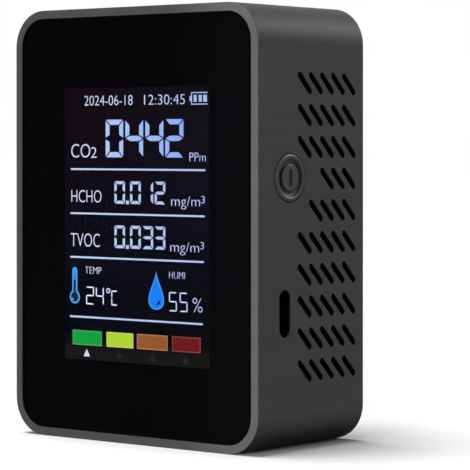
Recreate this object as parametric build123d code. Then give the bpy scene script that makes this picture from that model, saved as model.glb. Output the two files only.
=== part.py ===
from build123d import *
import os

# Desktop air quality monitor, in millimetres.
# X runs across the case, Y from the display (-) to the rear cover (+) and Z upwards.
# The origin is the middle of the face that the case stands on.

# ---- Case ----
case_width = 64.0
case_depth = 34.0
case_height = 87.0
corner_radius = 7.5
wall = 1.7  # side walls, and the rim that shows around the lens
front_edge_round = 0.2
rear_edge_round = 0.15
panel_thickness = 1.2  # inner front panel that carries the lens and the board

# ---- Vent slots, the same grid in both side walls ----
vent_rows = 10
vent_columns = 5
vent_row_pitch = 6.24
vent_column_pitch = 3.6
vent_width = 1.4
vent_length = 4.4  # between the centres of the rounded ends
vent_slope = -43.5  # degrees, falling towards the rear
vent_rear_margin = 4.9  # from the rear edge to the middle of the last column
vent_web = 1.6  # least plastic between a slot and another opening

# ---- Rear cover ----
cover_thickness = 2.0
cover_gap = 0.15  # all round, inside the side walls
cover_chamfer = 0.3
boss_inset = 5.3  # from the inner walls to the axis of a cover boss
boss_radius = 2.6
boss_rib = 1.2
boss_rib_step = 0.8  # the ribs stop this far below the cover
stop_width = 8.0  # ledge in the middle of the top and bottom walls
stop_reach = 1.5

# ---- Screws, one size for the cover and the board ----
screw_radius = 1.0
screw_gap = 0.1  # all round, in a clearance hole
pilot_gap = 0.03
cover_screw_length = 8.0
cover_head_radius = 2.0
cover_head_gap = 0.05
board_screw_length = 4.0
board_head_radius = 1.9
board_head_height = 1.2
recess_length = 2.0  # cross recess in each head
recess_width = 0.45
recess_depth = 0.6

# ---- Lens ----
lens_thickness = 1.0
lens_gap = 0.1
lens_chamfer = 0.15
mask_thickness = 0.08
tape_thickness = 0.15
tape_width = 4.0
view_side_margin = 12.8  # from the side of the case to the view
view_end_margin = 16.0  # from the top or bottom of the case to the view

# ---- Display module ----
film_gap = 0.15  # air between the mask and the front film
film_thickness = 0.2
film_margin = 1.0
glass_thickness = 0.55
glass_margin = 1.6  # glass beyond the view, left, right, top and bottom
glass_ledge = 3.0  # rear glass below the front glass
backlight_thickness = 2.2
backlight_wall = 1.2
backlight_floor = 0.4
guide_gap = 0.1
foam_thickness = 0.4
foam_width = 5.0
foam_inset = 3.0
window_gap = 0.4  # between the module and the opening in the inner panel

# ---- Display ribbon and its connector ----
flex_width = 16.0
flex_thickness = 0.2
flex_bond = 2.0  # length on the glass ledge
flex_drop = 1.6  # below the glass before it turns back
flex_bend = 0.8
flex_lift = 1.0  # centre of the ribbon above the board at the connector
flex_entry = 2.0  # length inside the connector
flex_slot_gap = 0.5
connector_height = 2.0
connector_length = 4.0
connector_margin = 1.5
connector_start = 4.5  # above the ribbon's way through the board

# ---- Main board ----
board_thickness = 1.6
board_gap = 0.5  # to the side walls and the cover bosses
standoff_radius = 2.2
standoff_spacing = 28.0  # between the left and the right one
standoff_inset = 4.0  # from the board's top or bottom edge
part_gap = 1.0  # between neighbours on the board

# ---- USB socket ----
usb_width = 8.94
usb_height = 3.26
usb_length = 7.3
usb_sheet = 0.3
usb_recess = 1.1  # mouth behind the outside of the case
usb_slot_gap = 0.15
usb_below_middle = 16.6
usb_plug_depth = 5.2  # from the mouth to the tongue's root
usb_tongue_width = 6.7
usb_tongue_thickness = 0.7
usb_tongue_setback = 0.8

# ---- Power button and its switch ----
button_radius = 4.7
button_gap = 0.15
button_proud = 0.3
button_above_middle = 9.65
button_travel = 0.3
button_ring_width = 1.1
button_ring_height = 0.5
button_dish_depth = 0.6
button_disc_radius = 2.65
button_disc_round = 0.25
button_disc_drop = 0.15  # centre disc below the crest of the ring
button_slope = 0.3
button_flange_radius = 5.7
button_flange = 0.8
button_seat_gap = 0.05
button_post_radius = 1.3
button_post = 0.7
mark_length = 3.4  # upright bar sunk in the centre disc
mark_width = 1.1
mark_depth = 0.25
switch_axis = 3.15  # plunger above the board
switch_width = 6.2
switch_height = 5.2
switch_length = 2.6
switch_sheet = 0.3
switch_cavity_radius = 2.2
switch_cavity = 1.6
plunger_radius = 1.5
plunger_gap = 0.1
plunger_reach = 1.2
plunger_collar_radius = 1.9
plunger_collar = 0.45
plunger_touch_gap = 0.05

# ---- Sensors on the back of the main board ----
co2_width = 33.0
co2_height = 20.0
co2_inset = 8.8  # from the inner left wall to the module
co2_lift = 2.5
co2_board = 1.2
co2_border = 1.5  # board that shows around the chamber
co2_chamber_height = 7.5
co2_chamber_round = 1.0
co2_membrane_radius = 2.6
co2_membrane_spacing = 14.0
co2_membrane_recess = 0.4
co2_membrane_thickness = 0.3
hcho_radius = 8.0
hcho_height = 6.5
hcho_socket_height = 2.0
hcho_socket_lip = 0.4
hcho_inset = 16.3  # from the inner left wall to the middle of the cell
hcho_inlet_radius = 4.0
hcho_inlet_depth = 0.8
voc_radius = 4.6
voc_base_height = 1.5
voc_cap_height = 3.5
voc_cap_step = 0.3
voc_inlet_radius = 2.6
voc_inlet_depth = 0.6
climate_size = 3.0
climate_height = 1.0
climate_inset = 4.3  # from the inner left wall
climate_z = 54.0
climate_slot = 1.0  # milled around the sensor to keep the board's heat away
climate_island = 1.5

# ---- Parts of the circuit ----
controller_size = 7.0
controller_height = 1.0
controller_x = 6.0
controller_z = 28.2
lead_count = 8  # per side
lead_pitch = 0.8
lead_width = 0.35
lead_reach = 1.0
lead_thickness = 0.4
charger_x = 17.0
charger_z = 27.0
charger_size = (4.0, 5.0)
charger_height = 1.5
inductor_size = 4.0
inductor_height = 1.8
inductor_x = 17.0
inductor_z = 19.5
crystal_size = (3.2, 2.5)
crystal_height = 0.8
crystal_x = 14.0
crystal_z = 34.5
buzzer_radius = 4.8
buzzer_height = 3.5
buzzer_hole_radius = 1.0
buzzer_hole_depth = 1.0
buzzer_x = -14.0
buzzer_z = 24.0
chip_length = 2.0
chip_width = 1.25
capacitor_height = 1.0
resistor_height = 0.5
capacitor_reach = 7.5  # from the controller's middle
resistor_pitch = 2.6
resistor_count = 5
resistor_x = -4.0
resistor_z = 24.0

# ---- Battery ----
battery_width = 34.0
battery_thickness = 7.0
battery_round = 2.2
battery_lead_x = 13.0  # from the middle of the pouch to the leads
pad_thickness = 0.5
pad_inset = 3.0
protection_height = 4.0
protection_thickness = 1.0
protection_inset = 2.0
cradle_thickness = 1.0
cradle_height = 3.0
cradle_gap = 0.3
cradle_corner = 8.0  # length of each arm of a corner rib
wire_radius = 0.5
wire_pitch = 2.0
wire_bend = 4.0
wire_rise = 5.0  # above the protection board
plug_width = 6.0
plug_depth = 4.5
plug_height = 4.0
socket_height = 3.0
socket_wall = 0.6
socket_floor = 0.8
socket_gap = 0.05

# ---- Places that follow from the sizes above ----
middle_z = case_height / 2
front_y = -case_depth / 2
rear_y = case_depth / 2
cavity_width = case_width - 2 * wall
cavity_height = case_height - 2 * wall
cavity_radius = corner_radius - wall
inner_x = cavity_width / 2
outer_x = case_width / 2

mask_y = front_y + lens_thickness
tape_y = mask_y + mask_thickness
panel_y = tape_y + tape_thickness
panel_rear_y = panel_y + panel_thickness
cover_y = rear_y - cover_thickness

film_y = tape_y + film_gap
front_glass_y = film_y + film_thickness
rear_glass_y = front_glass_y + glass_thickness
backlight_y = rear_glass_y + glass_thickness
foam_y = backlight_y + backlight_thickness
board_y = foam_y + foam_thickness
board_rear_y = board_y + board_thickness

view_width = case_width - 2 * view_side_margin
view_height = case_height - 2 * view_end_margin
glass_width = view_width + 2 * glass_margin
glass_height = view_height + 2 * glass_margin
glass_bottom = middle_z - glass_height / 2
ledge_bottom = glass_bottom - glass_ledge

boss_x = inner_x - boss_inset
boss_z = cavity_height / 2 - boss_inset
boss_points = [(x, middle_z + z) for x in (-boss_x, boss_x) for z in (-boss_z, boss_z)]
standoff_x = standoff_spacing / 2
standoff_z = cavity_height / 2 - board_gap - standoff_inset
standoff_points = [(x, middle_z + z) for x in (-standoff_x, standoff_x) for z in (-standoff_z, standoff_z)]

usb_y = board_rear_y + usb_height / 2
usb_centre_z = middle_z - usb_below_middle
usb_mouth_x = outer_x - usb_recess
button_centre_z = middle_z + button_above_middle
button_y = board_rear_y + switch_axis
button_face_x = outer_x + button_proud
flange_x = inner_x - button_seat_gap
post_x = flange_x - button_flange
plunger_tip_x = post_x - button_post - plunger_touch_gap
switch_face_x = plunger_tip_x - plunger_reach
switch_base_x = switch_face_x - switch_sheet

flex_way_z = ledge_bottom - flex_drop
connector_z = flex_way_z + connector_start

co2_x = co2_inset + co2_width / 2 - inner_x
co2_z = middle_z + boss_z - boss_radius - part_gap - co2_height / 2
co2_bottom = co2_z - co2_height / 2
hcho_x = hcho_inset - inner_x
hcho_z = co2_bottom - part_gap - hcho_socket_lip - hcho_radius
voc_x = hcho_x + hcho_radius + hcho_socket_lip + part_gap + voc_radius
voc_z = co2_bottom - part_gap - voc_radius
climate_x = climate_inset - inner_x

wire_x = co2_x + co2_width / 2 + part_gap + socket_wall + plug_width / 2
wire_top_z = co2_z
battery_x = wire_x - battery_lead_x
battery_bottom = middle_z - boss_z + boss_radius + part_gap + cradle_thickness
battery_height = wire_top_z - wire_rise - protection_height - battery_bottom
battery_y = cover_y - pad_thickness - battery_thickness
socket_top_y = board_rear_y + socket_height


# ---- Simple shapes ----
def block(x, y, z):
    """Box between pairs of limits along X, Y and Z."""
    middle = [(low + high) / 2 for low, high in (x, y, z)]
    size = [high - low for low, high in (x, y, z)]
    return Pos(*middle) * Box(*size)


def upright_block(width, height, y, x=0.0, z=middle_z):
    """Box across the case, centred on x and z, between two depths."""
    return block((x - width / 2, x + width / 2), y, (z - height / 2, z + height / 2))


def rounded_slab(width, height, radius, y):
    """Rounded rectangle across the case, centred on its middle, between two depths."""
    outline = RectangleRounded(width, height, radius)
    return extrude(Plane((0, y[1], middle_z), x_dir=(1, 0, 0), z_dir=(0, -1, 0)) * outline, y[1] - y[0])


def disc(radius, y, x, z):
    """Cylinder along Y between two depths."""
    return Pos(x, (y[0] + y[1]) / 2, z) * Rot(90, 0, 0) * Cylinder(radius, y[1] - y[0])


def rod(radius, x, y, z):
    """Cylinder along X between two places across the case."""
    return Pos((x[0] + x[1]) / 2, y, z) * Rot(0, 90, 0) * Cylinder(radius, x[1] - x[0])


def on_board(height):
    """Depths of a part of that height standing on the back of the main board."""
    return (board_rear_y, board_rear_y + height)


def cross_recess(y_face, x, z):
    """Cross for a driver, sunk from a head's outer face."""
    depths = (y_face - recess_depth, y_face + recess_depth)
    tall = upright_block(recess_width, recess_length, depths, x, z)
    wide = upright_block(recess_length, recess_width, depths, x, z)
    return tall + wide


# ---- Case and cover ----
def side_opening(sketch, depth):
    """Cutter through the right wall for an outline drawn in Y and Z."""
    return extrude(Plane.YZ.offset(outer_x - depth) * sketch, 2 * depth)


def button_hole():
    """Outline of the hole for the power button."""
    return Pos(button_y, button_centre_z) * Circle(button_radius + button_gap)


def usb_hole():
    """Outline of the slot for the USB socket."""
    size = (usb_width + 2 * usb_slot_gap, usb_height + 2 * usb_slot_gap)
    return Pos(usb_y, usb_centre_z) * Rot(0, 0, 90) * SlotOverall(*size)


def vent_outlines(openings):
    """Slanted slots on a grid, leaving out those too close to another opening."""
    last_y = rear_y - vent_rear_margin
    slots = []
    for row in range(vent_rows):
        z = middle_z + (row - (vent_rows - 1) / 2) * vent_row_pitch
        for column in range(vent_columns):
            place = Pos(last_y - column * vent_column_pitch, z)
            slot = place * Rot(0, 0, vent_slope) * SlotCenterToCenter(vent_length, vent_width)
            if all(slot.distance_to(other) >= vent_web for other in openings):
                slots.append(slot)
    return slots


def cover_bosses():
    """Four screw bosses from the inner panel to the cover, each tied to two walls."""
    pieces = []
    for x, z in boss_points:
        out_x = inner_x + wall / 2 if x > 0 else -inner_x - wall / 2
        out_z = case_height - wall / 2 if z > middle_z else wall / 2
        rib_y = (panel_y, cover_y - boss_rib_step)
        pieces.append(disc(boss_radius, (panel_y, cover_y), x, z))
        pieces.append(block(sorted((x, out_x)), rib_y, (z - boss_rib / 2, z + boss_rib / 2)))
        pieces.append(block((x - boss_rib / 2, x + boss_rib / 2), rib_y, sorted((z, out_z))))
    return pieces


def cover_stops():
    """Ledges in the middle of the top and bottom walls that the cover rests on."""
    half = stop_width / 2
    pieces = []
    for z in ((wall / 2, wall + stop_reach), (case_height - wall - stop_reach, case_height - wall / 2)):
        pieces.append(block((-half, half), (board_rear_y + 2 * board_gap, cover_y), z))
    return pieces


def main_housing():
    """Sleeve with rim, inner front panel, bosses, vents and the side openings."""
    shell = rounded_slab(case_width, case_height, corner_radius, (front_y, rear_y))
    shell = fillet(shell.faces().sort_by(Axis.Y)[0].edges(), front_edge_round)
    shell = fillet(shell.faces().sort_by(Axis.Y)[-1].edges(), rear_edge_round)
    shell -= rounded_slab(cavity_width, cavity_height, cavity_radius, (front_y, panel_y))
    shell -= rounded_slab(cavity_width, cavity_height, cavity_radius, (panel_rear_y, rear_y))
    window_top = glass_bottom + glass_height + window_gap
    window_bottom = flex_way_z - flex_slot_gap
    shell -= block(
        (-glass_width / 2 - window_gap, glass_width / 2 + window_gap),
        (panel_y, panel_rear_y),
        (window_bottom, window_top),
    )
    shell += cover_bosses() + cover_stops()
    shell += [disc(standoff_radius, (panel_y, board_y), x, z) for x, z in standoff_points]
    pilot = screw_radius + pilot_gap
    cover_pilot_y = rear_y - cover_screw_length - 1
    board_pilot_y = board_rear_y - board_screw_length - pilot_gap
    shell -= [disc(pilot, (cover_pilot_y, rear_y), x, z) for x, z in boss_points]
    shell -= [disc(pilot, (board_pilot_y, board_y), x, z) for x, z in standoff_points]

    openings = [button_hole(), usb_hole()]
    through = wall + 1
    right = [side_opening(outline, through) for outline in openings + vent_outlines(openings)]
    left = [mirror(side_opening(outline, through), Plane.YZ) for outline in vent_outlines([])]
    return shell - (right + left)


def rear_cover():
    """Flat cover set inside the walls, with screw holes and ribs around the battery."""
    width = cavity_width - 2 * cover_gap
    height = cavity_height - 2 * cover_gap
    plate = rounded_slab(width, height, cavity_radius - cover_gap, (cover_y, rear_y))
    plate = chamfer(plate.faces().sort_by(Axis.Y)[-1].edges(), cover_chamfer)

    inner = (battery_width + 2 * cradle_gap, battery_height + 2 * cradle_gap)
    outer = (inner[0] + 2 * cradle_thickness, inner[1] + 2 * cradle_thickness)
    depths = (cover_y - cradle_height, cover_y)
    centre_z = battery_bottom + battery_height / 2
    frame = upright_block(*outer, depths, battery_x, centre_z)
    frame -= upright_block(*inner, depths, battery_x, centre_z)
    frame -= upright_block(outer[0] - 2 * cradle_corner, outer[1], depths, battery_x, centre_z)
    frame -= upright_block(outer[0], outer[1] - 2 * cradle_corner, depths, battery_x, centre_z)
    plate += frame

    for x, z in boss_points:
        plate -= disc(screw_radius + screw_gap, (cover_y, rear_y), x, z)
        plate -= countersink(cover_head_radius + cover_head_gap, rear_y, x, z)
    return plate


def countersink(radius, y_face, x, z):
    """Cone with a right angle at its tip, opening at the outer face."""
    cone = Cone(0, radius, radius)
    return Pos(x, y_face - radius / 2, z) * Rot(-90, 0, 0) * cone


def rear_cover_screws():
    """Four countersunk screws with a cross recess."""
    screws = []
    head_y = rear_y - cover_head_gap
    for x, z in boss_points:
        screw = countersink(cover_head_radius, head_y, x, z)
        screw += disc(screw_radius, (rear_y - cover_screw_length, head_y - screw_radius), x, z)
        screws.append(screw - cross_recess(head_y, x, z))
    return Compound(screws)


# ---- Lens and display ----
def display_lens():
    """Acrylic front lens, set flush inside the rim."""
    width = cavity_width - 2 * lens_gap
    height = cavity_height - 2 * lens_gap
    lens = rounded_slab(width, height, cavity_radius - lens_gap, (front_y, mask_y))
    return chamfer(lens.faces().sort_by(Axis.Y)[0].edges(), lens_chamfer)


def lens_mask():
    """Border printed on the back of the lens, clear over the view."""
    width = cavity_width - 2 * lens_gap
    height = cavity_height - 2 * lens_gap
    mask = rounded_slab(width, height, cavity_radius - lens_gap, (mask_y, tape_y))
    return mask - upright_block(view_width, view_height, (mask_y, tape_y))


def lens_tape():
    """Frame of double-sided tape between the mask and the inner panel."""
    width = cavity_width - 2 * lens_gap
    height = cavity_height - 2 * lens_gap
    depths = (tape_y, panel_y)
    tape = rounded_slab(width, height, cavity_radius - lens_gap, depths)
    return tape - upright_block(width - 2 * tape_width, height - 2 * tape_width, depths)


def lcd_front_film():
    width = view_width + 2 * film_margin
    height = view_height + 2 * film_margin
    return upright_block(width, height, (film_y, front_glass_y))


def lcd_front_glass():
    return upright_block(glass_width, glass_height, (front_glass_y, rear_glass_y))


def lcd_rear_glass():
    """Rear glass, longer below for the ribbon's contacts."""
    height = glass_height + glass_ledge
    centre_z = glass_bottom + glass_height - height / 2
    return upright_block(glass_width, height, (rear_glass_y, backlight_y), z=centre_z)


def backlight_frame():
    """White tray around the light guide."""
    tray = upright_block(glass_width, glass_height, (backlight_y, foam_y))
    inner = (glass_width - 2 * backlight_wall, glass_height - 2 * backlight_wall)
    return tray - upright_block(*inner, (backlight_y, foam_y - backlight_floor))


def light_guide():
    width = glass_width - 2 * (backlight_wall + guide_gap)
    height = glass_height - 2 * (backlight_wall + guide_gap)
    return upright_block(width, height, (backlight_y + guide_gap, foam_y - backlight_floor))


def lcd_foam_strips():
    """Two sticky foam strips that hold the module to the board."""
    x = glass_width / 2 - foam_inset - foam_width / 2
    height = glass_height - 2 * foam_inset
    strips = [upright_block(foam_width, height, (foam_y, board_y), side) for side in (-x, x)]
    return Compound(strips)


def flex_route():
    """Ribbon's middle line: down the glass ledge, back through the board, up into its connector."""
    start_y = rear_glass_y - flex_thickness / 2
    end_y = board_rear_y + flex_lift
    points = [
        (0, start_y, ledge_bottom + flex_bond),
        (0, start_y, flex_way_z),
        (0, end_y, flex_way_z),
        (0, end_y, connector_z + flex_entry),
    ]
    return FilletPolyline(*points, radius=flex_bend)


def lcd_flex():
    route = flex_route()
    section = Plane(route @ 0, x_dir=(1, 0, 0), z_dir=route % 0) * Rectangle(flex_width, flex_thickness)
    return sweep(section, path=route)


def flex_connector():
    """Connector on the back of the board, with a mouth for the ribbon's end."""
    width = flex_width + 2 * connector_margin
    z = (connector_z, connector_z + connector_length)
    body = block((-width / 2, width / 2), on_board(connector_height), z)
    half_mouth = flex_thickness / 2 + socket_gap
    ribbon_y = board_rear_y + flex_lift
    mouth_x = flex_width / 2 + socket_gap
    mouth_z = (connector_z, connector_z + flex_entry + socket_gap)
    return body - block((-mouth_x, mouth_x), (ribbon_y - half_mouth, ribbon_y + half_mouth), mouth_z)


# ---- Main board and what is soldered to it ----
def main_board():
    """Board with cut corners, screw holes, a way for the ribbon, a notch for the button and a milled slot."""
    width = cavity_width - 2 * board_gap
    height = cavity_height - 2 * board_gap
    depths = (board_y, board_rear_y)
    board = upright_block(width, height, depths)
    corner = 2 * (boss_inset + boss_radius)
    for x in (-inner_x, inner_x):
        for z in (wall, case_height - wall):
            board -= upright_block(corner + 2 * board_gap, corner + 2 * board_gap, depths, x, z)
    for x, z in standoff_points:
        board -= disc(screw_radius + screw_gap, depths, x, z)

    way = (flex_width + 2 * flex_slot_gap, flex_thickness + 2 * flex_slot_gap)
    board -= upright_block(*way, depths, z=flex_way_z)
    notch_x = post_x - button_travel - board_gap
    notch = button_flange_radius + board_gap
    board -= block((notch_x, inner_x), depths, (button_centre_z - notch, button_centre_z + notch))

    near_x = climate_x + climate_size / 2 + climate_island
    reach = climate_size / 2 + climate_island + climate_slot
    slot_z = (climate_z - reach, climate_z + reach)
    board -= block((near_x, near_x + climate_slot), depths, slot_z)
    foot_z = (climate_z - reach, climate_z - reach + climate_slot)
    board -= block((climate_x, near_x + climate_slot), depths, foot_z)
    return board


def board_screws():
    """Four pan-head screws through the board into the standoffs."""
    screws = []
    head_y = board_rear_y + board_head_height
    for x, z in standoff_points:
        screw = disc(board_head_radius, on_board(board_head_height), x, z)
        screw += disc(screw_radius, (board_rear_y - board_screw_length, board_rear_y), x, z)
        screws.append(screw - cross_recess(head_y, x, z))
    return Compound(screws)


def controller_chip():
    """Square chip with leads on its four sides."""
    body = upright_block(
        controller_size, controller_size, on_board(controller_height), controller_x, controller_z
    )
    start = controller_size / 2
    for index in range(lead_count):
        offset = (index - (lead_count - 1) / 2) * lead_pitch
        for side in (-1, 1):
            middle = side * (start + lead_reach / 2)
            x, z = controller_x + middle, controller_z + offset
            body += upright_block(lead_reach, lead_width, on_board(lead_thickness), x, z)
            x, z = controller_x + offset, controller_z + middle
            body += upright_block(lead_width, lead_reach, on_board(lead_thickness), x, z)
    return body


def charger_chip():
    return upright_block(*charger_size, on_board(charger_height), charger_x, charger_z)


def power_inductor():
    coil = upright_block(inductor_size, inductor_size, on_board(inductor_height), inductor_x, inductor_z)
    return chamfer(coil.edges().filter_by(Axis.Y), inductor_size / 8)


def crystal():
    return upright_block(*crystal_size, on_board(crystal_height), crystal_x, crystal_z)


def chip_capacitors():
    """Decoupling capacitors around the controller."""
    reach = capacitor_reach
    places = [(-reach, 0), (reach, 0), (0, -reach), (0, reach)]
    pieces = [
        upright_block(
            chip_length, chip_width, on_board(capacitor_height), controller_x + x, controller_z + z
        )
        for x, z in places
    ]
    return Compound(pieces)


def chip_resistors():
    """Row of resistors beside the controller."""
    pieces = []
    for index in range(resistor_count):
        z = resistor_z + index * resistor_pitch
        pieces.append(
            upright_block(chip_length, chip_width, on_board(resistor_height), resistor_x, z)
        )
    return Compound(pieces)


def buzzer():
    body = disc(buzzer_radius, on_board(buzzer_height), buzzer_x, buzzer_z)
    top_y = board_rear_y + buzzer_height
    return body - disc(buzzer_hole_radius, (top_y - buzzer_hole_depth, top_y), buzzer_x, buzzer_z)


def usb_outline(inset):
    """Outline of the USB shell, or of its inside, drawn in Y and Z."""
    size = (usb_width - 2 * inset, usb_height - 2 * inset)
    return Pos(usb_y, usb_centre_z) * Rot(0, 0, 90) * SlotOverall(*size)


def usb_shell():
    """Steel tube of the socket, open at its mouth and its back."""
    start = Plane.YZ.offset(usb_mouth_x - usb_length)
    return extrude(start * usb_outline(0), usb_length) - extrude(start * usb_outline(usb_sheet), usb_length)


def usb_tongue():
    """Insulator that fills the back of the shell and carries the contact tongue."""
    start_x = usb_mouth_x - usb_length
    block_length = usb_length - usb_plug_depth
    root = extrude(Plane.YZ.offset(start_x) * usb_outline(usb_sheet), block_length)
    tongue = block(
        (start_x, usb_mouth_x - usb_tongue_setback),
        (usb_y - usb_tongue_thickness / 2, usb_y + usb_tongue_thickness / 2),
        (usb_centre_z - usb_tongue_width / 2, usb_centre_z + usb_tongue_width / 2),
    )
    return root + tongue


# ---- Power button ----
def button_profile():
    """Half section of the button: a rounded outer ring, a dish, a raised disc with a rounded edge and a flange."""
    crest = button_face_x
    ring_inner = button_radius - button_ring_width
    shoulder = crest - button_ring_height
    dish = crest - button_dish_depth
    disc_x = crest - button_disc_drop
    ring = ThreePointArc(
        (shoulder, button_radius),
        (crest, button_radius - button_ring_width / 2),
        (shoulder, ring_inner),
    )
    dish_line = Polyline(
        (shoulder, ring_inner),
        (dish, ring_inner - button_slope),
        (dish, button_disc_radius),
        (disc_x - button_disc_round, button_disc_radius),
    )
    disc_edge = RadiusArc(dish_line @ 1, (disc_x, button_disc_radius - button_disc_round), button_disc_round)
    back_line = Polyline(
        disc_edge @ 1,
        (disc_x, 0),
        (post_x - button_post, 0),
        (post_x - button_post, button_post_radius),
        (post_x, button_post_radius),
        (post_x, button_flange_radius),
        (flange_x, button_flange_radius),
        (flange_x, button_radius),
        (shoulder, button_radius),
    )
    return make_face(Curve() + [ring, dish_line, disc_edge, back_line])


def power_button():
    """Round button held behind the wall by its flange, with an upright bar sunk in its middle."""
    cap = Pos(0, button_y, button_centre_z) * revolve(button_profile(), Axis.X)
    bar_x = button_face_x - button_disc_drop - mark_depth
    bar = Pos(button_y, button_centre_z) * Rot(0, 0, 90) * SlotOverall(mark_length, mark_width)
    return cap - extrude(Plane.YZ.offset(bar_x) * bar, button_dish_depth + mark_depth)


def switch_base():
    """Moulded base of the side push switch, with a round well for the plunger's collar."""
    base = block(
        (switch_base_x - switch_length, switch_base_x),
        on_board(switch_height),
        (button_centre_z - switch_width / 2, button_centre_z + switch_width / 2),
    )
    well = (switch_base_x - switch_cavity, switch_base_x)
    return base - rod(switch_cavity_radius, well, button_y, button_centre_z)


def switch_frame():
    """Steel frame folded over the front and the two ends of the switch."""
    half = switch_width / 2
    depths = on_board(switch_height)
    low, high = button_centre_z - half, button_centre_z + half
    frame = block((switch_base_x, switch_face_x), depths, (low - switch_sheet, high + switch_sheet))
    back_x = switch_base_x - switch_length
    frame += block((back_x, switch_base_x), depths, (low - switch_sheet, low))
    frame += block((back_x, switch_base_x), depths, (high, high + switch_sheet))
    hole = (switch_base_x, switch_face_x)
    return frame - rod(plunger_radius + plunger_gap, hole, button_y, button_centre_z)


def switch_plunger():
    """Plunger with the collar that keeps it in the switch."""
    collar_x = switch_base_x - plunger_touch_gap
    stem = rod(plunger_radius, (collar_x, plunger_tip_x), button_y, button_centre_z)
    collar = (collar_x - plunger_collar, collar_x)
    return stem + rod(plunger_collar_radius, collar, button_y, button_centre_z)


# ---- Sensors ----
def co2_header_strips():
    """Two pin headers that lift the CO2 module off the board."""
    x = co2_width / 2 - co2_border
    strips = [
        upright_block(2 * co2_border, co2_height - 2 * co2_border, on_board(co2_lift), co2_x + side, co2_z)
        for side in (-x, x)
    ]
    return Compound(strips)


def co2_module_board():
    y = board_rear_y + co2_lift
    return upright_block(co2_width, co2_height, (y, y + co2_board), co2_x, co2_z)


def co2_membrane_places():
    """The chamber's back face and the two places of its membranes."""
    top_y = board_rear_y + co2_lift + co2_board + co2_chamber_height
    half = co2_membrane_spacing / 2
    return top_y, [(co2_x - half, co2_z), (co2_x + half, co2_z)]


def co2_chamber():
    """Optical chamber with two recesses for its membranes."""
    top_y, places = co2_membrane_places()
    width, height = co2_width - 2 * co2_border, co2_height - 2 * co2_border
    chamber = upright_block(width, height, (top_y - co2_chamber_height, top_y), co2_x, co2_z)
    chamber = fillet(chamber.edges().filter_by(Axis.Y), co2_chamber_round)
    for x, z in places:
        chamber -= disc(co2_membrane_radius, (top_y - co2_membrane_recess, top_y), x, z)
    return chamber


def co2_membranes():
    """Two round filters that air enters the chamber through."""
    top_y, places = co2_membrane_places()
    floor_y = top_y - co2_membrane_recess
    radius = co2_membrane_radius - socket_gap
    return Compound([disc(radius, (floor_y, floor_y + co2_membrane_thickness), x, z) for x, z in places])


def hcho_socket():
    return disc(hcho_radius + hcho_socket_lip, on_board(hcho_socket_height), hcho_x, hcho_z)


def hcho_cell():
    """Formaldehyde cell with a sunk inlet in its back."""
    start_y = board_rear_y + hcho_socket_height
    end_y = start_y + hcho_height
    cell = disc(hcho_radius, (start_y, end_y), hcho_x, hcho_z)
    return cell - disc(hcho_inlet_radius, (end_y - hcho_inlet_depth, end_y), hcho_x, hcho_z)


def voc_sensor_base():
    return disc(voc_radius, on_board(voc_base_height), voc_x, voc_z)


def voc_sensor_cap():
    """Steel cap with an open inlet."""
    start_y = board_rear_y + voc_base_height
    end_y = start_y + voc_cap_height
    cap = disc(voc_radius - voc_cap_step, (start_y, end_y), voc_x, voc_z)
    return cap - disc(voc_inlet_radius, (end_y - voc_inlet_depth, end_y), voc_x, voc_z)


def climate_sensor():
    return upright_block(climate_size, climate_size, on_board(climate_height), climate_x, climate_z)


# ---- Battery ----
def battery_pouch():
    """Soft lithium cell with rounded long edges."""
    depths = (battery_y, battery_y + battery_thickness)
    centre_z = battery_bottom + battery_height / 2
    pouch = upright_block(battery_width, battery_height, depths, battery_x, centre_z)
    return fillet(pouch.edges().filter_by(Axis.Z), battery_round)


def battery_pad():
    width = battery_width - 2 * pad_inset
    height = battery_height - 2 * pad_inset
    centre_z = battery_bottom + battery_height / 2
    return upright_block(width, height, (cover_y - pad_thickness, cover_y), battery_x, centre_z)


def wire_plane_y():
    """Depth of the protection board, which the wires start from."""
    return battery_y + battery_thickness / 2


def battery_protection_board():
    """Narrow board on the top edge of the cell."""
    y = wire_plane_y()
    half = protection_thickness / 2
    start_z = battery_bottom + battery_height
    half_width = battery_width / 2 - protection_inset
    return block(
        (battery_x - half_width, battery_x + half_width),
        (y - half, y + half),
        (start_z, start_z + protection_height),
    )


def battery_lead(x):
    """Wire from the top of the protection board, over the cell and into the back of the plug."""
    start = (x, wire_plane_y(), battery_bottom + battery_height + protection_height)
    corner = (x, wire_plane_y(), wire_top_z)
    end = (x, board_rear_y + socket_floor + plug_height, wire_top_z)
    route = FilletPolyline(start, corner, end, radius=wire_bend)
    section = Plane(route @ 0, z_dir=route % 0) * Circle(wire_radius)
    return sweep(section, path=route)


def battery_socket():
    """Board socket open towards the rear."""
    width, depth = plug_width + 2 * socket_wall, plug_depth + 2 * socket_wall
    body = upright_block(width, depth, on_board(socket_height), wire_x, wire_top_z)
    room = (plug_width + 2 * socket_gap, plug_depth + 2 * socket_gap)
    return body - upright_block(*room, (board_rear_y + socket_floor, socket_top_y), wire_x, wire_top_z)


def battery_plug():
    start_y = board_rear_y + socket_floor
    return upright_block(plug_width, plug_depth, (start_y, start_y + plug_height), wire_x, wire_top_z)


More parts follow.
